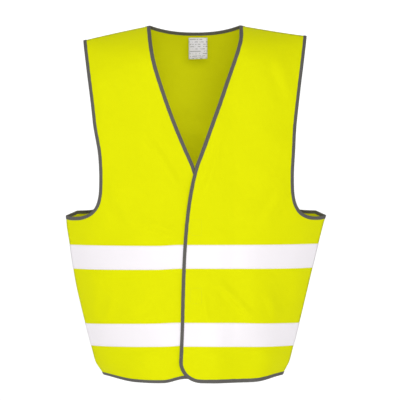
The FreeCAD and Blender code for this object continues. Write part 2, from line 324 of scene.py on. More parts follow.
def front_edge():
    """Neckline, lapped front edge, rounded corner and hem, from the shoulder down."""
    drop = np.linspace(0, neck_cross, edge_points, endpoint=False)
    neck = np.stack([neck_half * (1 - (drop / neck_cross) ** neck_power), -drop], 1)
    straight = length - corner_radius - neck_cross
    below = np.linspace(0, straight, edge_points, endpoint=False)
    edge = np.stack([-lap * (1 - np.exp(-below / lap_run)), -neck_cross - below], 1)
    turn = np.linspace(0, math.pi / 2, 24, endpoint=False)
    corner_x = -lap + corner_radius * (1 - np.cos(turn))
    corner = np.stack([corner_x, hem_height(corner_x) + corner_radius * (1 - np.sin(turn))], 1)
    hem_x = np.linspace(corner_radius - lap, hem_half, 60)
    hem = np.stack([hem_x, hem_height(hem_x)], 1)
    path = np.concatenate([neck, edge, corner, hem])
    for _ in range(6):
        path[1:-1] = (path[:-2] + 2 * path[1:-1] + path[2:]) / 4
    return path


def armhole(scoop_half, scoop_drop, floor_drop, corner_power, tip_power):
    """From the shoulder tip down to the scoop and round to the top of the side seam."""
    share = np.linspace(0, 1, 120, endpoint=False)
    upper_x = scoop_half + (shoulder_half - scoop_half) * (1 - share) ** armhole_top_power
    upper = np.stack([upper_x, -shoulder_drop - (scoop_drop - shoulder_drop) * share], 1)
    turn = np.linspace(0, math.pi / 2, 90)
    power = 2 / corner_power
    share = 1 - np.cos(turn) ** power
    fall = (floor_drop - scoop_drop) * np.sin(turn) ** power
    tip = (armhole_depth - floor_drop) * share ** tip_power
    lower = np.stack([scoop_half + (chest_half - scoop_half) * share, -scoop_drop - fall - tip], 1)
    return np.concatenate([upper, lower])


def back_neck():
    x = np.linspace(-neck_half, neck_half, 121)
    return np.stack([x, back_neck_drop * (np.abs(x / neck_half) ** 2.4 - 1)], 1)


def back_hem():
    x = np.linspace(-hem_half, hem_half, 161)
    return np.stack([x, hem_height(x)], 1)


def distances(path):
    """The distance of each point along a polyline."""
    steps = np.linalg.norm(np.diff(path, axis=0), axis=1)
    return np.concatenate([[0], np.cumsum(steps)])


def resample(path, spacing):
    """The same polyline with evenly spaced points, and the distance of each along it."""
    run = distances(path)
    places = np.linspace(0, run[-1], max(2, round(run[-1] / spacing)) + 1)
    return np.stack([np.interp(places, run, path[:, k]) for k in (0, 1)], 1), places


shoulder_tip, side_top = (shoulder_half, -shoulder_drop), (chest_half, -armhole_depth)
side_foot = (hem_half, hem_height(hem_half))
front_path, front_arm, back_arm = front_edge(), armhole(*front_scoop), armhole(*back_scoop)
print("front edge %.3f m, armhole %.3f m" % (distances(front_path)[-1], distances(front_arm)[-1]))

# %% [markdown]
# ## Cutting a panel
# A panel is triangulated in the flat: points on a grid inside the outline, with the
# outline kept as edges by a constrained Delaunay triangulation. A grid stretched between
# two edges would shear badly at the underarm, where the outline turns a corner. The cut
# is then laid on the form twice, for the two faces of the cloth, and closed at its rim.


# %% panel cutter
def inside(points, polygon):
    """Which points lie inside a closed polygon, by counting crossings."""
    found = np.zeros(len(points), bool)
    for a, b in zip(polygon, np.roll(polygon, -1, axis=0)):
        spans = (a[1] > points[:, 1]) != (b[1] > points[:, 1])
        with np.errstate(divide="ignore", invalid="ignore"):
            crossing = a[0] + (points[:, 1] - a[1]) * (b[0] - a[0]) / (b[1] - a[1])
        found ^= spans & (points[:, 0] < crossing)
    return found


def cut_flat(polygon, spacing):
    """Points and triangles of a flat cut, in X and Z."""
    low, high = polygon.min(0), polygon.max(0)
    columns = np.arange(low[0], high[0], spacing)
    rows = np.arange(low[1], high[1], spacing * math.sqrt(3) / 2)
    x, z = np.meshgrid(columns, rows)
    x = x + (np.arange(len(rows)) % 2)[:, None] * spacing / 2
    grid = np.stack([x.ravel(), z.ravel()], 1)
    grid = grid[inside(grid, polygon)]
    clear = np.array([np.min(np.sum((polygon - p) ** 2, 1)) > (0.55 * spacing) ** 2 for p in grid])
    points = [Vector(p) for p in np.concatenate([polygon, grid[clear]]).tolist()]
    count = len(polygon)
    rim = [(k, (k + 1) % count) for k in range(count)]
    made, _, faces, _, _, _ = delaunay_2d_cdt(points, rim, [], 1, 1e-7)
    return np.array([tuple(p) for p in made]), faces


def cloth_measure(panel, x, z):
    """Distance across and down the flat cloth, in metres, for weaves and seams."""
    steps = 24
    across, down = np.zeros(len(x)), np.zeros(len(x))
    for k in range(steps):
        a, b = x * k / steps, x * (k + 1) / steps
        rise = form_depth(panel, b, z) - form_depth(panel, a, z)
        across += np.sign(x) * np.sqrt((b - a) ** 2 + rise ** 2)
        a, b = z * k / steps, z * (k + 1) / steps
        rise = form_depth(panel, x, b) - form_depth(panel, x, a)
        down += np.sqrt((b - a) ** 2 + rise ** 2)
    return np.stack([across, -down], 1)


def new_piece(name, points, faces, uv, material):
    """A mesh object in the frame, smooth shaded, with cloth distances as its UV map."""
    mesh = bpy.data.meshes.new(name)
    mesh.from_pydata(np.asarray(points).tolist(), [], [list(f) for f in faces])
    if uv is not None:
        layer = mesh.uv_layers.new(name="cloth")
        corners = np.empty(len(mesh.loops), int)
        mesh.loops.foreach_get("vertex_index", corners)
        layer.data.foreach_set("uv", np.asarray(uv)[corners].astype(np.float32).ravel())
    mesh.polygons.foreach_set("use_smooth", [True] * len(mesh.polygons))
    built = bmesh.new()
    built.from_mesh(mesh)
    bmesh.ops.recalc_face_normals(built, faces=built.faces)
    built.to_mesh(mesh)
    built.free()
    piece = bpy.data.objects.new(name, mesh)
    bpy.context.scene.collection.objects.link(piece)
    mesh.materials.append(material)
    return piece


def slab(name, layers, uv, material):
    """A closed slab between two grids of points, with one cloth distance per point."""
    height, width = layers[0].shape[:2]
    count = height * width
    index = np.arange(count).reshape(height, width)
    corners = [index[:-1, :-1], index[:-1, 1:], index[1:, 1:], index[1:, :-1]]
    quads = np.stack(corners, -1).reshape(-1, 4)
    rim = np.concatenate([index[0, :-1], index[:-1, -1], index[-1, :0:-1], index[:0:-1, 0]])
    faces = quads.tolist() + (quads[:, ::-1] + count).tolist()
    faces += [[a, a + count, b + count, b] for a, b in zip(rim, np.roll(rim, -1))]
    points = np.concatenate([layer.reshape(-1, 3) for layer in layers])
    return new_piece(name, points, faces, np.concatenate([uv, uv]), material)


def cut_panel(name, panel, polygon, spacing, material):
    flat, faces = cut_flat(polygon, spacing)
    count = len(flat)
    layers = [on_cloth(panel, flat[:, 0], flat[:, 1], out) for out in (cloth_thick, 0.0)]
    edges = {}
    for face in faces:
        for a, b in zip(face, face[1:] + face[:1]):
            edges[(a, b)] = edges.get((a, b), 0) + 1
    rim = [(a, b) for a, b in edges if (b, a) not in edges]
    both = list(faces) + [[k + count for k in reversed(face)] for face in faces]
    both += [[b, a, a + count, b + count] for a, b in rim]
    uv = cloth_measure(panel, flat[:, 0], flat[:, 1])
    piece = new_piece(name, np.concatenate(layers), both, np.concatenate([uv, uv]), material)
    piece.data.materials.append(inner_face)
    face_side = [int(len(faces) <= k < 2 * len(faces)) for k in range(len(both))]
    piece.data.polygons.foreach_set("material_index", face_side)
    area = sum(f.area for f in piece.data.polygons) / 2
    print("%-24s %6d faces, %.3f m2, flat %.2f x %.2f m" % (
        name, len(both), area, np.ptp(uv[:, 0]), np.ptp(uv[:, 1])))
    return piece

# %% [markdown]
# ## Shared effects
# Three effects appear in several finishes, so each is a node group: a fine woven or
# knitted ground, a slow mottling that keeps a surface from being one flat colour, and a
# fuzz of loose fibres. They put out heights, masks and a colour; the shader is outside.


# %% group helpers
def new_group(name, inputs, outputs):
    group = bpy.data.node_groups.new(name, "ShaderNodeTree")
    for label, kind, value in inputs:
        socket = group.interface.new_socket(label, in_out="INPUT", socket_type=kind)
        if value is not None:
            socket.default_value = value
    for label, kind in outputs:
        group.interface.new_socket(label, in_out="OUTPUT", socket_type=kind)
    return group, group.nodes.new("NodeGroupInput"), group.nodes.new("NodeGroupOutput")


def math_node(tree, kind, first, second=None, third=None):
    node = tree.nodes.new("ShaderNodeMath")
    node.operation = kind
    for socket, value in zip(node.inputs, (first, second, third)):
        if value is None:
            continue
        if isinstance(value, (int, float)):
            socket.default_value = value
        else:
            tree.links.new(value, socket)
    return node.outputs[0]


FLOAT, VECTOR = "NodeSocketFloat", "NodeSocketVector"

# %% fine ground
ground, entry, leave = new_group(
    "fine ground",
    [("Place", VECTOR, None), ("Pitch across", FLOAT, 0.001), ("Pitch down", FLOAT, 0.001),
     ("Slant", FLOAT, 0.0), ("Stagger", FLOAT, 0.5)],
    [("Height", FLOAT), ("Gaps", FLOAT)])
split = ground.nodes.new("ShaderNodeSeparateXYZ")
ground.links.new(entry.outputs["Place"], split.inputs[0])
leaned = math_node(
    ground, "MULTIPLY_ADD", split.outputs["Y"], entry.outputs["Slant"], split.outputs["X"])
column = math_node(ground, "DIVIDE", leaned, entry.outputs["Pitch across"])
row = math_node(ground, "DIVIDE", split.outputs["Y"], entry.outputs["Pitch down"])
wale = math_node(ground, "SINE", math_node(ground, "MULTIPLY", column, 2 * math.pi))
whole = math_node(ground, "FLOOR", column)
shifted = math_node(ground, "MULTIPLY_ADD", whole, entry.outputs["Stagger"], row)
course = math_node(ground, "SINE", math_node(ground, "MULTIPLY", shifted, 2 * math.pi))
upright = math_node(ground, "MULTIPLY_ADD", wale, 0.28, 0.5)
bumps = math_node(ground, "MULTIPLY_ADD", course, 0.22, upright)
ground.links.new(bumps, leave.inputs["Height"])
ground.links.new(math_node(ground, "LESS_THAN", bumps, 0.14), leave.inputs["Gaps"])
print("group", ground.name, [s.name for s in ground.interface.items_tree])

# %% mottle
mottle, entry, leave = new_group(
    "mottle",
    [("Size", FLOAT, 0.05), ("Amount", FLOAT, 0.05), ("Colour", "NodeSocketColor", (1, 1, 1, 1))],
    [("Colour", "NodeSocketColor")])
place = mottle.nodes.new("ShaderNodeTexCoord")
noise = mottle.nodes.new("ShaderNodeTexNoise")
noise.inputs["Detail"].default_value = 3.0
mottle.links.new(place.outputs["Object"], noise.inputs["Vector"])
mottle.links.new(math_node(mottle, "DIVIDE", 1.0, entry.outputs["Size"]), noise.inputs["Scale"])
swing = math_node(mottle, "SUBTRACT", noise.outputs["Fac"], 0.5)
value = math_node(mottle, "MULTIPLY_ADD", swing, entry.outputs["Amount"], 1.0)
tint = mottle.nodes.new("ShaderNodeVectorMath")
tint.operation = "SCALE"
mottle.links.new(entry.outputs["Colour"], tint.inputs[0])
mottle.links.new(value, tint.inputs["Scale"])
mottle.links.new(tint.outputs[0], leave.inputs["Colour"])
print("group", mottle.name)

# %% fuzz
fuzz, entry, leave = new_group("fuzz", [("Size", FLOAT, 0.0006)], [("Height", FLOAT)])
place = fuzz.nodes.new("ShaderNodeTexCoord")
noise = fuzz.nodes.new("ShaderNodeTexNoise")
noise.inputs["Detail"].default_value = 4.0
noise.inputs["Roughness"].default_value = 0.7
fuzz.links.new(place.outputs["Object"], noise.inputs["Vector"])
fuzz.links.new(math_node(fuzz, "DIVIDE", 1.0, entry.outputs["Size"]), noise.inputs["Scale"])
fuzz.links.new(noise.outputs["Fac"], leave.inputs["Height"])
print("group", fuzz.name)


# %% [markdown]
# ## Finishes
# Each finish is a Principled shader fed by the groups. Values that are the same all over
# are set on the shader's own sockets. A fluorescent dye turns unseen light into yellow,
# so the fabric also glows a little in its own colour.


# %% finish helpers
def add_group(tree, group, **values):
    node = tree.nodes.new("ShaderNodeGroup")
    node.node_tree = group
    for name, value in values.items():
        node.inputs[name.replace("_", " ")].default_value = value
    return node


def cloth_finish(name, colour, roughness, weave, depth, mottling=0.05, fibre=0.0, shade_gaps=0.0):
    """A fabric: woven ground from the cloth's own distances, fibres and mottled colour."""
    material = bpy.data.materials.new(name)
    material.use_nodes = True
    tree = material.node_tree
    shader = tree.nodes["Principled BSDF"]
    shader.inputs["Roughness"].default_value = roughness
    place = tree.nodes.new("ShaderNodeTexCoord")
    cloth = add_group(tree, ground)
    for socket, value in zip(("Pitch across", "Pitch down", "Slant", "Stagger"), weave):
        cloth.inputs[socket].default_value = value
    tree.links.new(place.outputs["UV"], cloth.inputs["Place"])
    blotch = add_group(tree, mottle, Size=0.06, Amount=mottling, Colour=(*colour, 1))
    dark = tree.nodes.new("ShaderNodeMix")
    dark.data_type = "RGBA"
    dark.blend_type = "MULTIPLY"
    tree.links.new(blotch.outputs["Colour"], dark.inputs["A"])
    dark.inputs["B"].default_value = (1 - shade_gaps,) * 3 + (1,)
    tree.links.new(cloth.outputs["Gaps"], dark.inputs["Factor"])
    tree.links.new(dark.outputs["Result"], shader.inputs["Base Color"])
    height = cloth.outputs["Height"]
    if fibre:
        loose = add_group(tree, fuzz, Size=0.0007)
        height = math_node(tree, "MULTIPLY_ADD", loose.outputs["Height"], fibre, height)
    bump = tree.nodes.new("ShaderNodeBump")
    bump.inputs["Strength"].default_value = 1.0
    bump.inputs["Distance"].default_value = depth
    tree.links.new(height, bump.inputs["Height"])
    tree.links.new(bump.outputs["Normal"], shader.inputs["Normal"])
    return material, tree, shader


# %% fluorescent knit
yellow = (0.755, 0.775, 0.0)
hi_vis, tree, shader = cloth_finish(
    "fluorescent warp knit", yellow, 0.8, (1.15 * mm, 0.95 * mm, 0.0, 0.5), 0.10 * mm,
    mottling=0.03, fibre=0.3, shade_gaps=0.10)
shader.inputs["Emission Color"].default_value = (0.79, 0.84, 0.0, 1)
shader.inputs["Emission Strength"].default_value = 0.08
shader.inputs["Specular IOR Level"].default_value = 0.08
print("finish", hi_vis.name)

# %% inner face of the knit
inner_face, tree, shader = cloth_finish(
    "inner face of the knit", (0.79, 0.80, 0.004), 0.85, (1.15 * mm, 0.95 * mm, 0.0, 0.5),
    0.10 * mm, mottling=0.03, fibre=0.3, shade_gaps=0.12)
shader.inputs["Specular IOR Level"].default_value = 0.08
print("finish", inner_face.name)

# %% grey edging
edging, tree, shader = cloth_finish(
    "grey twill edging", (0.126, 0.120, 0.110), 0.75, (0.75 * mm, 0.6 * mm, 0.7, 0.5), 0.12 * mm,
    mottling=0.18, fibre=0.4, shade_gaps=0.35)
shader.inputs["Specular IOR Level"].default_value = 0.3
print("finish", edging.name)

# %% reflective tape
silver, tree, shader = cloth_finish(
    "glass bead tape", (0.80, 0.765, 0.80), 0.42, (0.9 * mm, 0.9 * mm, 0.0, 0.0), 0.025 * mm,
    mottling=0.03, fibre=0.8, shade_gaps=0.05)
# The tape's emission is a painted reflection: a glow that stands in for the front light the glass
# beads send back, so the tape stays bright at its sides.
shader.inputs["Emission Color"].default_value = (1.0, 0.965, 1.0, 1)
shader.inputs["Emission Strength"].default_value = 0.19
shader.inputs["Coat Weight"].default_value = 0.15
shader.inputs["Coat Roughness"].default_value = 0.35
print("finish", silver.name)

# %% threads and closure
def thread_finish(name, colour, roughness):
    twist = (0.4 * mm, 0.4 * mm, 1.0, 0.5)
    return cloth_finish(name, colour, roughness, twist, 0.05 * mm, 0.1, 0.5)[0]


yellow_thread = thread_finish("yellow thread", (0.70, 0.74, 0.01), 0.6)
grey_thread = thread_finish("grey thread", (0.20, 0.20, 0.205), 0.55)
white_thread = thread_finish("white thread", (0.86, 0.85, 0.84), 0.55)
hook_nylon = cloth_finish(
    "hook nylon", (0.62, 0.66, 0.03), 0.4, (1.6 * mm, 1.6 * mm, 0.0, 0.0), 0.06 * mm, 0.08, 0.2)[0]
loop_nylon = cloth_finish(
    "loop pile", (0.66, 0.70, 0.03), 0.9, (0.8 * mm, 0.8 * mm, 0.3, 0.5), 0.25 * mm,
    0.12, 1.2, 0.25)[0]
print("threads and closure finishes made")

# %% [markdown]
# ## Folded edging
# The edging is a narrow strip folded over the raw edge and stitched through. It is built
# as a thin U swept along the outline: real folded cloth with two faces, so it shows its
# thickness where a stitch pulls it in. At a seam its cut turns to lie along the seam.


# %% edging sweep
gap = 0.05 * mm
gather_depth, slow_depth, edge_waver = 0.09 * mm, 0.05 * mm, 0.12 * mm
# (distance in from the edge, distance out from the inner face), in millimetres
edging_profile = np.array([
    (8.0, 0.55), (8.05, 1.0), (7.2, 1.16), (5.8, 1.12), (4.4, 1.34), (2.8, 1.42), (1.2, 1.32),
    (0.0, 1.02), (-0.62, 0.55), (-0.72, 0.2), (-0.55, -0.2), (0.0, -0.52), (1.2, -0.82),
    (2.8, -0.9), (4.4, -0.82), (5.8, -0.62), (7.2, -0.66), (8.05, -0.5), (8.0, -0.05),
    (5.8, -0.06), (1.4, -0.08), (0.15, 0.0), (0.08, 0.25), (0.15, 0.5), (1.4, 0.58), (5.8, 0.56),
]) * mm


def inward_directions(path, start_along, end_along, turn_run=20 * mm):
    """Unit directions into the cloth, to the left of the path, turned to a seam at each end."""
    ahead = np.gradient(path, axis=0)
    ahead /= np.linalg.norm(ahead, axis=1, keepdims=True)
    inward = np.stack([-ahead[:, 1], ahead[:, 0]], 1)
    run = distances(path)
    for along, away in ((start_along, run), (end_along, run[-1] - run)):
        seam = np.array(along) / np.linalg.norm(along)
        seam = seam / abs(float(seam @ inward[0 if away is run else -1]))
        share = smooth(1 - away / turn_run)[:, None]
        inward = inward * (1 - share) + seam * share
    return inward


def swept_points(panel, path, inward, profile, pucker=1.0, seed=1, narrow=1.0):
    """Sections of a profile along a path on the cloth: an array (section, corner, 3)."""
    run = distances(path)[:, None]
    gathers = np.sin(2 * math.pi * run / (6.1 * mm) + 3 * np.sin(run * 41 + seed))
    slow = np.sin(2 * math.pi * run / (23 * mm) + seed)
    into = profile[None, :, 0] * np.reshape(narrow, (-1, 1))
    out = profile[None, :, 1]
    crown = np.sin(np.clip(into / binding_wide, 0, 1) * math.pi)
    side = np.sign(out - cloth_thick / 2) * (np.abs(out - cloth_thick / 2) > 0.45 * mm)
    out = out + pucker * side * crown * (gather_depth * gathers + slow_depth * slow)
    into = into + pucker * edge_waver * slow * (into > 6 * mm)
    x = path[:, None, 0] + inward[:, None, 0] * into
    z = path[:, None, 1] + inward[:, None, 1] * into
    return on_cloth(panel, x, z, out)


def tube_faces(sections, corners, closed):
    faces = []
    for k in range(sections if closed else sections - 1):
        a, b = k * corners, (k + 1) % sections * corners
        for j in range(corners):
            n = (j + 1) % corners
            faces.append((a + j, a + n, b + n, b + j))
    if not closed:
        last = (sections - 1) * corners
        faces += [tuple(range(corners)), tuple(last + j for j in reversed(range(corners)))]
    return faces


def swept_piece(name, points, closed, material):
    """A mesh from sections. Its cloth distances run round the profile and along the path."""
    sections, corners, _ = points.shape
    run = distances(points.mean(1))
    around = np.linalg.norm(np.diff(points[0], axis=0, append=points[0][:1]), axis=1)
    around = np.concatenate([[0], np.cumsum(around[:-1])])
    uv = np.stack(np.broadcast_arrays(around[None, :], run[:, None]), -1).reshape(-1, 2)
    faces = tube_faces(sections, corners, closed)
    return new_piece(name, points.reshape(-1, 3), faces, uv, material)


# %% [markdown]
# ## Stitches
# A row of stitches is many small threads, each one bowed: its ends dive into the cloth.
# One short bent tube is worked out per stitch, all in one array, and a row follows any
# path at any distance in from the edge.

# %% stitch rows
thread_rings, thread_sides, thread_radius = 5, 5, 0.24 * mm
thread_sink, thread_bow = 0.18 * mm, 0.26 * mm


def unit(vectors):
    return vectors / np.linalg.norm(vectors, axis=-1, keepdims=True)


def tubes(centre, side, up, radius, sides):
    """Points and faces of many short tubes, given as centre lines (tube, ring, 3)."""
    count, rings, _ = centre.shape
    turn = (np.arange(sides) * 2 * math.pi / sides)[None, None, :, None]
    points = centre[:, :, None] + radius * (
        np.cos(turn) * side[:, :, None] + np.sin(turn) * up[:, :, None])
    one, size = tube_faces(rings, sides, False), rings * sides
    faces = [tuple(k * size + v for v in face) for k in range(count) for face in one]
    return points.reshape(-1, 3), faces


def stitch_row(panel, path, inward, into, out, pitch=3.1 * mm, share=0.74, zig=0.0):
    """Points and faces of one row of stitches on the cloth. zig is the width of a zigzag."""
    line = path + inward * np.reshape(into, (-1, 1))
    run = distances(line)
    starts = np.arange(pitch, run[-1] - 1.5 * pitch, pitch)
    ring = np.linspace(0, 1, thread_rings)
    places = starts[:, None] + ring[None, :] * pitch * share
    swing = zig * np.where(np.arange(len(starts)) % 2, 1.0, -1.0)[:, None] * (ring - 0.5)[None, :]
    x, z = (np.interp(places, run, line[:, k]) + swing * np.interp(places, run, inward[:, k])
            for k in (0, 1))
    bow = np.sin(ring * math.pi)[None, :]
    lift = math.copysign(1, out - cloth_thick / 2)
    centre = on_cloth(panel, x, z, out + lift * (thread_bow * bow - thread_sink))
    raised = on_cloth(panel, x, z, out + lift * (thread_bow * bow - thread_sink + mm))
    up = unit(raised - centre)
    side = np.cross(unit(np.gradient(centre, axis=1)), up)
    radius = thread_radius * (0.45 + 0.55 * bow)[..., None, None]
    return tubes(centre, side, up, radius, thread_sides)


def joined(rows):
    points, faces, count = [], [], 0
    for row_points, row_faces in rows:
        points.append(row_points)
        faces += [tuple(v + count for v in face) for face in row_faces]
        count += len(row_points)
    return np.concatenate(points), faces


def stitches(name, rows, material):
    points, faces = joined(rows)
    uv = points[:, [0, 2]]
    piece = new_piece(name, points, faces, uv, material)
    print("%-30s %5d stitches" % (name, len(points) // (thread_rings * thread_sides)))
    return piece


# %% [markdown]
# ## Tapes
# A tape is a plain grid on the cloth, from under the front edging to the side seam. It is
# sewn near both long edges, so it sits lowest there and is a touch fuller in the middle.


# %% tape grid
neck_and_edge = front_path[:2 * edge_points]
tape_rise, tape_rise_reach, tape_lip, tape_lip_reach = 0.22 * mm, 9 * mm, 0.12 * mm, 0.8 * mm
tape_seam_in = 2.4 * mm


def edge_x(z):
    """The X of the front edge at a height above its rounded corner."""
    rising = neck_and_edge[np.argsort(neck_and_edge[:, 1])]
    return np.interp(z, rising[:, 1], rising[:, 0])


def tape_sheet(name, panel, low_z, high_z, tuck, material):
    columns, rows = 90, 16
    v = np.linspace(0, 1, rows + 1)
    z = low_z + (high_z - low_z) * v
    left = -side_half(z) if panel == "back" else edge_x(z) + tuck
    right = side_half(z)
    a = np.linspace(0, 1, columns * (2 if panel == "back" else 1) + 1)
    x = left[:, None] + (right - left)[:, None] * a[None, :]
    zz = np.broadcast_to(z[:, None], x.shape)
    edge = np.minimum(v, 1 - v) * (high_z - low_z)
    full = tape_rise * smooth(edge / tape_rise_reach)
    full = full + tape_lip * np.exp(-(edge / tape_lip_reach) ** 2)
    bottom = cloth_thick + gap + full[:, None] + 0 * x
    layers = [on_cloth(panel, x, zz, bottom + tape_thick), on_cloth(panel, x, zz, bottom)]
    uv = cloth_measure(panel, x.ravel(), zz.ravel())
    piece = slab(name, layers, uv, material)
    print("%-24s %.3f m long" % (name, np.ptp(uv[:, 0])))
    return piece


def tape_stitches(panel, low_z, high_z, tuck):
    rows = []
    for z in (low_z + tape_seam_in, high_z - tape_seam_in):
        left = -float(side_half(z)) if panel == "back" else float(edge_x(z)) + tuck
        path = np.stack([np.linspace(left, float(side_half(z)), 300), np.full(300, z)], 1)
        tape_top = cloth_thick + gap + tape_thick
        rows.append(stitch_row(panel, path, np.zeros_like(path), 0, tape_top))
    return rows

# %% [markdown]
# ## Three panels
# The back hangs from the shoulders. Each front hangs beside it as one piece, with its
# transform baked into its mesh.
# The left front is lifted by the height of the closure where it laps over the right.


def bend_front(piece):
    """Bake a front piece's world transform into its mesh."""
    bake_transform(piece)


trim = {"left": [], "right": [], "back": []}


def attach(side, *pieces):
    """Parent back trim to the vest body, bake front trim in place, and list it for that panel."""
    for piece in pieces:
        if side == "back":
            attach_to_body(piece, "vest_body")
        else:
            bend_front(piece)
    trim[side] += pieces


def line_between(a, b):
    return np.array([a, b], float)


# %% panels
side_line = line_between(side_foot, side_top)
shoulder_line = line_between(shoulder_tip, (neck_half, 0))
flip = np.array([-1.0, 1.0])
curve_step, line_step = 3.4 * mm, 4 * mm


def cut_run(line, step):
    """A run of the cut without its last point, which the next run starts with."""
    return resample(line, step)[0][:-1]


front_cut = np.concatenate([
    cut_run(front_path, curve_step), cut_run(side_line, line_step),
    cut_run(front_arm[::-1], curve_step), cut_run(shoulder_line, line_step)])
back_half = np.concatenate([
    cut_run(side_line, line_step), cut_run(back_arm[::-1], curve_step),
    cut_run(shoulder_line, line_step)])
back_cut = np.concatenate([
    back_half, cut_run(back_neck()[::-1], line_step), back_half[:0:-1] * flip,
    (side_foot * flip)[None], cut_run(back_hem(), line_step)[1:]])
panels = {}
for side in ("left", "right"):
    panels[side] = cut_panel(side + "_front", side, front_cut, 4.2 * mm, hi_vis)
    bend_front(panels[side])
    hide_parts(side + "_front_side_panel", side + "_front_flap_panel")
panels["back"] = cut_panel("back", "back", back_cut, 4.6 * mm, hi_vis)
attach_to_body(panels["back"], "vest_body")
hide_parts("back_panel")

# %% [markdown]
# ## Edging on every open edge
# One strip runs from the shoulder down the neckline, round the front corner and along the
# hem of each front. The back has a strip on its neck and one on its hem. Each armhole has
# one ring that passes over the shoulder seam and under the arm without a break.

# %% front edging
hps_along, tip_along = (1, -shoulder_slope), (-1, shoulder_slope)
arm_along, foot_along = (-side_slope, -1), (side_slope, 1)
edging_step, edging_seam_in = 2.1 * mm, 6.3 * mm
path, run = resample(front_path, edging_step)
inward = inward_directions(path, hps_along, foot_along)
hem_start = run[-1] - hem_half
face_out, face_in = 1.14 * mm, -0.64 * mm
for side in ("left", "right"):
    hem_share = 0.92 if side == "left" else 0.74
    narrow = np.interp(
        run, (0.28, 0.34, hem_start, hem_start + 0.05), (0.9, 0.84, 0.84, hem_share))
    seed = 2 if side == "left" else 5
    points = swept_points(side, path, inward, edging_profile, seed=seed, narrow=narrow)
    strip = swept_piece(side + "_front_edging", points, False, edging)
    rows = [stitch_row(side, path, inward, edging_seam_in * narrow, out)
            for out in (face_out, face_in)]
    thread = stitches(side + "_front_edging_stitches", rows, grey_thread)
    attach(side, strip, thread)
    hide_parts(*(side + "_" + part + "_binding" for part in ("neck", "hem", "flap")))
    print(strip.name, len(strip.data.vertices), "points")

# %% back edging
for name, line, start_along, end_along, narrow in (
        ("back_neck", back_neck()[::-1], (1, -shoulder_slope), (-1, -shoulder_slope), 0.66),
        ("back_hem", back_hem(), (-side_slope, 1), (side_slope, 1), 0.85)):
    path, _ = resample(line, edging_step)
    inward = inward_directions(path, start_along, end_along)
    points = swept_points("back", path, inward, edging_profile, seed=3, narrow=narrow)
    strip = swept_piece(name + "_edging", points, False, edging)
    rows = [stitch_row("back", path, inward, edging_seam_in * narrow, out)
            for out in (face_out, face_in)]
    thread = stitches(name + "_edging_stitches", rows, grey_thread)
    attach("back", strip, thread)
    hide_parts(name + "_binding")

# %% armhole edging
arm_seam_in = 5.3 * mm
for side in ("left", "right"):
    halves, rows = [], []
    for panel, line in ((side, front_arm), ("back", back_arm)):
        path, _ = resample(line[::-1], edging_step)
        inward = inward_directions(path, arm_along, tip_along)
        if panel == "back" and side == "right":
            path, inward = path * flip, inward * flip
        points = swept_points(panel, path, inward, edging_profile, seed=4, narrow=0.84)
        halves.append(points if panel == side else points[-2:0:-1])
        rows += [stitch_row(panel, path, inward, arm_seam_in, out) for out in (face_out, face_in)]
    ring = swept_piece(side + "_armhole_edging", np.concatenate(halves), True, edging)
    thread = stitches(side + "_armhole_edging_stitches", rows, grey_thread)
    attach("back", ring, thread)
    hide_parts(side + "_armhole_binding")
    print(ring.name, len(ring.data.vertices), "points")

# %% [markdown]
# ## Silver tapes
# Two tapes go round the body. Each front has its own length of each, and the back has
# one of each, so a tape is cut at the front edge and at the side seam, as on the vest.

# %% tapes
tuck = 6.6 * mm
for level in ("upper", "lower"):
    low_z, high_z = tape_rows[level][0][2], tape_rows[level][1][2]
    for side in ("left", "right", "back"):
        tape = tape_sheet(side + "_" + level + "_silver", side, low_z, high_z, tuck, silver)
        rows = tape_stitches(side, low_z, high_z, tuck)
        thread = stitches(tape.name + "_stitches", rows, white_thread)
        nodes = ["back_%s_tape" % level] if side == "back" else [
            "%s_%s_%s_tape" % (side, part, level) for part in ("side", "flap")]
        attach(side, tape, thread)
        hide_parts(*nodes)

# %% [markdown]
# ## Seams
# At the shoulders and sides the two raw edges are overlocked together and pressed to the
# back, inside the vest. Each seam is a narrow strip with a zigzag of yellow thread.

# %% seams
seam_profile = np.array([
    (0.4, -0.15), (4.0, -0.12), (8.0, -0.15), (8.4, -0.6), (8.0, -1.15),
    (6.0, -1.35), (3.0, -1.4), (1.0, -1.3), (0.3, -0.8)]) * mm
shoulder_clear, side_clear = 8.5 * mm, 9 * mm
overlock_out, overlock_in, safety_in = -1.38 * mm, 4.4 * mm, 2 * mm
shoulder_seam = line_between(
    (neck_half + shoulder_clear, -shoulder_clear * shoulder_slope),
    (shoulder_half - shoulder_clear, -shoulder_drop + shoulder_clear * shoulder_slope))
side_seam = line_between(
    (chest_half - side_slope * side_clear, -armhole_depth - side_clear),
    (hem_half + side_slope * side_clear, side_foot[1] + side_clear))
for part, line, direction in (
        ("shoulder", shoulder_seam, np.array([-shoulder_slope, -1.0])),
        ("side", side_seam, np.array([-1.0, side_slope]))):
    for side in ("left", "right"):
        mirror = flip if side == "right" else np.ones(2)
        path = resample(line, 2.5 * mm)[0] * mirror
        inward = np.repeat((unit(direction) * mirror)[None], len(path), 0)
        points = swept_points("back", path, inward, seam_profile, pucker=1.5, seed=6)
        strip = swept_piece("%s_%s_overlock" % (side, part), points, False, hi_vis)
        rows = [stitch_row("back", path, inward, overlock_in, overlock_out,
                           pitch=2.3 * mm, share=1.0, zig=7 * mm),
                stitch_row("back", path, inward, safety_in, overlock_out, pitch=2.9 * mm)]
        thread = stitches(strip.name + "_stitches", rows, yellow_thread)
        attach("back", strip, thread)
        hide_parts("%s_%s_seam" % (side, part))

# %% [markdown]
# ## Closure
# Two pairs of touch tape patches hold the lap: hooks inside the left front, pile on the
# right. A hook patch is a woven base with rows of small bent hooks, and a pile patch is a
# soft cushion of loops.


# %% closure patches
patch_lip, patch_seam_in = 1.6 * mm, 1.6 * mm


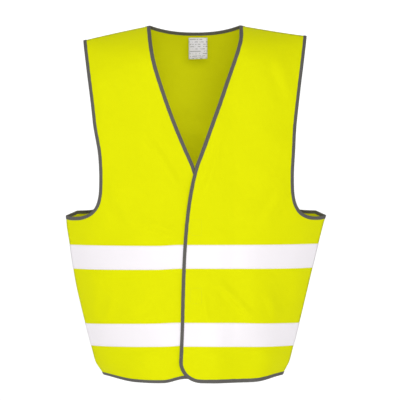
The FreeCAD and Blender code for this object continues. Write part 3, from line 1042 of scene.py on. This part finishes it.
def patch_box(panel, node):
    """A node's lowest and highest X and Z, turned over for the right front."""
    low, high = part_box(node)
    mirror = -1 if panel == "right" else 1
    return sorted((mirror * low[0], mirror * high[0])), (low[2], high[2])


def patch_grid(name, panel, node, levels, material, bulge=0.0):
    """A thin slab on the cloth over a node's X and Z box, between two heights."""
    x, z = patch_box(panel, node)
    u, v = np.meshgrid(np.linspace(0, 1, 25), np.linspace(0, 1, 33))
    xx, zz = x[0] + (x[1] - x[0]) * u, z[0] + (z[1] - z[0]) * v
    edge = np.minimum(np.minimum(u, 1 - u) * (x[1] - x[0]), np.minimum(v, 1 - v) * (z[1] - z[0]))
    full = smooth(edge / patch_lip)
    outer = levels[0] + (levels[1] - levels[0]) * (0.45 + 0.55 * full) + bulge * full
    layers = [on_cloth(panel, xx, zz, outer), on_cloth(panel, xx, zz, levels[0] + 0 * full)]
    return slab(name, layers, np.stack([xx.ravel(), zz.ravel()], 1), material)


hook_pitch, hook_high, hook_lean, hook_radius = 1.25 * mm, 0.85 * mm, 0.55 * mm, 0.13 * mm
hook_rings, hook_sides = 6, 5


def hook_rows(name, panel, node, base, material):
    """Rows of small hooks, each a thread that rises from the base and bends over."""
    (x0, x1), (z0, z1) = patch_box(panel, node)
    xs = np.arange(x0 + 2.2 * mm, x1 - 1.8 * mm, hook_pitch)
    zs = np.arange(z0 + 2.2 * mm, z1 - 2.2 * mm, hook_pitch)
    x, z = (v.ravel() for v in np.meshgrid(xs, zs))
    steps = np.linspace(0, 1, hook_rings)
    bent = np.minimum(steps * 1.25, 1) * math.pi / 2 + 0.45 * np.maximum(steps - 0.8, 0) * 5
    rise = hook_high * np.sin(bent)
    lean = hook_lean * steps ** 2
    way = np.where((np.arange(len(x)) // len(xs)) % 2, 1.0, -1.0)[:, None]
    centre = on_cloth(panel, x[:, None] + way * lean, z[:, None] + 0 * lean, base - rise[None])
    ahead = unit(np.gradient(centre, axis=1))
    side = unit(np.cross(ahead, np.array([0, 0, 1.0])))
    radius = hook_radius * np.linspace(1, 0.75, hook_rings)[None, :, None, None]
    points, faces = tubes(centre, side, np.cross(side, ahead), radius, hook_sides)
    return new_piece(name, points, faces, points[:, [0, 2]], material)


def patch_stitches(side, level, node, out):
    (x0, x1), (z0, z1) = patch_box(side, node)
    x0, x1, z0, z1 = x0 + patch_seam_in, x1 - patch_seam_in, z0 + patch_seam_in, z1 - patch_seam_in
    corners = np.array([(x0, z0), (x1, z0), (x1, z1), (x0, z1), (x0, z0)])
    path = resample(corners, 1 * mm)[0]
    rows = [stitch_row(side, path, np.zeros_like(path), 0, out, pitch=2.4 * mm)]
    return stitches("%s_%s_patch_stitches" % (side, level), rows, yellow_thread)


for level in ("upper", "lower"):
    hook_node, loop_node = level + "_hook_patch", level + "_loop_patch"
    base = patch_grid(hook_node + "_base", "left", hook_node, (-0.05 * mm, -0.40 * mm), hook_nylon)
    hooks = hook_rows(hook_node + "_hooks", "left", hook_node, -0.35 * mm, hook_nylon)
    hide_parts(hook_node)
    pile = patch_grid(
        loop_node + "_pile", "right", loop_node, (0.55 * mm, 1.5 * mm), loop_nylon, 0.15 * mm)
    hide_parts(loop_node)
    left_thread = patch_stitches("left", level, hook_node, 0.52 * mm)
    right_thread = patch_stitches("right", level, loop_node, 1.25 * mm)
    attach("left", base, hooks, left_thread)
    attach("right", pile, right_thread)
print("closure made")

# %% [markdown]
# ## Labels
# Two satin leaves are sewn inside the back neck and hang free. Real ones carry print, so
# these have plain grey bars in its place. Each leaf bows a little, as a heat cut label does.

# %% label finish
satin, tree, shader = cloth_finish(
    "satin label", (0.80, 0.78, 0.84), 0.38, (0.35 * mm, 0.5 * mm, 0.0, 0.5), 0.03 * mm,
    0.05, 0.0, 0.1)
place = tree.nodes.new("ShaderNodeTexCoord")
split = tree.nodes.new("ShaderNodeSeparateXYZ")
tree.links.new(place.outputs["UV"], split.inputs[0])
words = tree.nodes.new("ShaderNodeTexNoise")
words.noise_dimensions = "2D"
words.inputs["Scale"].default_value = 170.0
tree.links.new(place.outputs["UV"], words.inputs["Vector"])
bar_pitch = 5.2 * mm
down = math_node(tree, "MULTIPLY", split.outputs["Y"], 2 * math.pi / bar_pitch)
line_wave = math_node(tree, "SINE", down)
lines = math_node(tree, "GREATER_THAN", line_wave, 0.45)
broken = math_node(tree, "GREATER_THAN", words.outputs["Fac"], 0.5)
bars = math_node(tree, "MULTIPLY", math_node(tree, "MULTIPLY", lines, broken), 0.8)
print_mix = tree.nodes.new("ShaderNodeMix")
print_mix.data_type = "RGBA"
tree.links.new(bars, print_mix.inputs["Factor"])
source = shader.inputs["Base Color"].links[0].from_socket
tree.links.new(source, print_mix.inputs["A"])
print_mix.inputs["B"].default_value = (0.22, 0.22, 0.24, 1)
tree.links.new(print_mix.outputs["Result"], shader.inputs["Base Color"])
print("finish", satin.name)

# %% labels
leaf_tilt, leaf_half = 1.6 * mm, 0.16 * mm
for name, (low, high), bow in (("front_label", (label_low, label_high), 1.2 * mm),
                               ("rear_label", (rear_low, rear_high), 0.5 * mm)):
    u, v = np.meshgrid(np.linspace(0, 1, 25), np.linspace(0, 1, 29))
    x = low[0] + (high[0] - low[0]) * u
    z = high[2] - (high[2] - low[2]) * v
    belly = 0.6 * np.sin(u * math.pi) + 0.6 * v ** 2
    y = (low[1] + high[1]) / 2 - bow * belly * smooth(v / 0.35)
    middle = np.stack([x, y, z + leaf_tilt * (u - 0.5) * v], -1)
    layers = [middle - (0, leaf_half, 0), middle + (0, leaf_half, 0)]
    leaf = slab(name, layers, np.stack([x.ravel(), z.ravel()], 1), satin)
    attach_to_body(leaf, name.replace("_label", "_leaf"))
    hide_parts(name + "_leaf")
    print(name, np.round(high - low, 4))

# %% [markdown]
# ## What the cloth is
# A panel's edging, tapes, seams and thread are listed with it.

# %% sheets
print("panels and trim listed")

# %% [markdown]
# ## Backdrop, light and camera
# A pale sweep stands well behind the vest. The light is a bright even room with a large
# soft panel in front, a small one on each side and one on the backdrop. The camera is
# level with the middle of the vest and looks straight at its front.

# %% backdrop
backdrop = bpy.data.materials.new("backdrop")
backdrop.use_nodes = True
paint = backdrop.node_tree.nodes["Principled BSDF"]
paint.inputs["Base Color"].default_value = (0.93, 0.93, 0.93, 1)
paint.inputs["Roughness"].default_value = 0.9
paint.inputs["Emission Color"].default_value = (1, 1, 1, 1)
paint.inputs["Emission Strength"].default_value = 0.12
turn = np.linspace(0, math.pi / 2, 20)
curve = [(6.2 + 1.6 * math.sin(t), 1.6 * -math.cos(t)) for t in turn]
profile = [(-8.0, -1.6)] + curve + [(7.8, 7.0)]
points = [(x, y, z) for y, z in profile for x in (-10.0, 10.0)]
faces = [(2 * k, 2 * k + 1, 2 * k + 3, 2 * k + 2) for k in range(len(profile) - 1)]
sweep = new_piece("backdrop", points, faces, None, backdrop)
print("backdrop", len(faces), "faces")

# %% light and camera
scene = bpy.context.scene
world = bpy.data.worlds.new("room")
world.use_nodes = True
world.node_tree.nodes["Background"].inputs["Color"].default_value = (1.0, 1.0, 1.0, 1)
world.node_tree.nodes["Background"].inputs["Strength"].default_value = 0.42
scene.world = world


def soft_panel(name, place, aim, size, power):
    lamp = bpy.data.lights.new(name, "AREA")
    lamp.shape, lamp.size, lamp.energy = "DISK", size, power
    holder = bpy.data.objects.new(name, lamp)
    holder.location = place
    holder.rotation_euler = (Vector(aim) - Vector(place)).to_track_quat("-Z", "Y").to_euler()
    holder.visible_camera = False
    scene.collection.objects.link(holder)


soft_panel("front light", (0.35, -4.0, 0.1), (0, 0, -0.35), 3.0, 66)
soft_panel("backdrop light", (0, 3.6, 3.2), (0, 7.8, -0.4), 3.0, 140)
soft_panel("left light", (-2.8, -1.3, 0.9), (0, 0, -0.35), 0.9, 15)
soft_panel("right light", (2.6, -1.6, 0.9), (0, 0, -0.35), 1.2, 5)
scene.view_settings.view_transform = "Standard"
view = bpy.data.cameras.new("camera")
view.lens = 145.08
view.sensor_width = 36.0
eye = bpy.data.objects.new("camera", view)
eye.location = (0.0109, -3.5, -0.378)
eye.rotation_euler = (math.pi / 2, 0, 0)
scene.collection.objects.link(eye)
scene.camera = eye
print("camera", [round(v, 4) for v in eye.location])
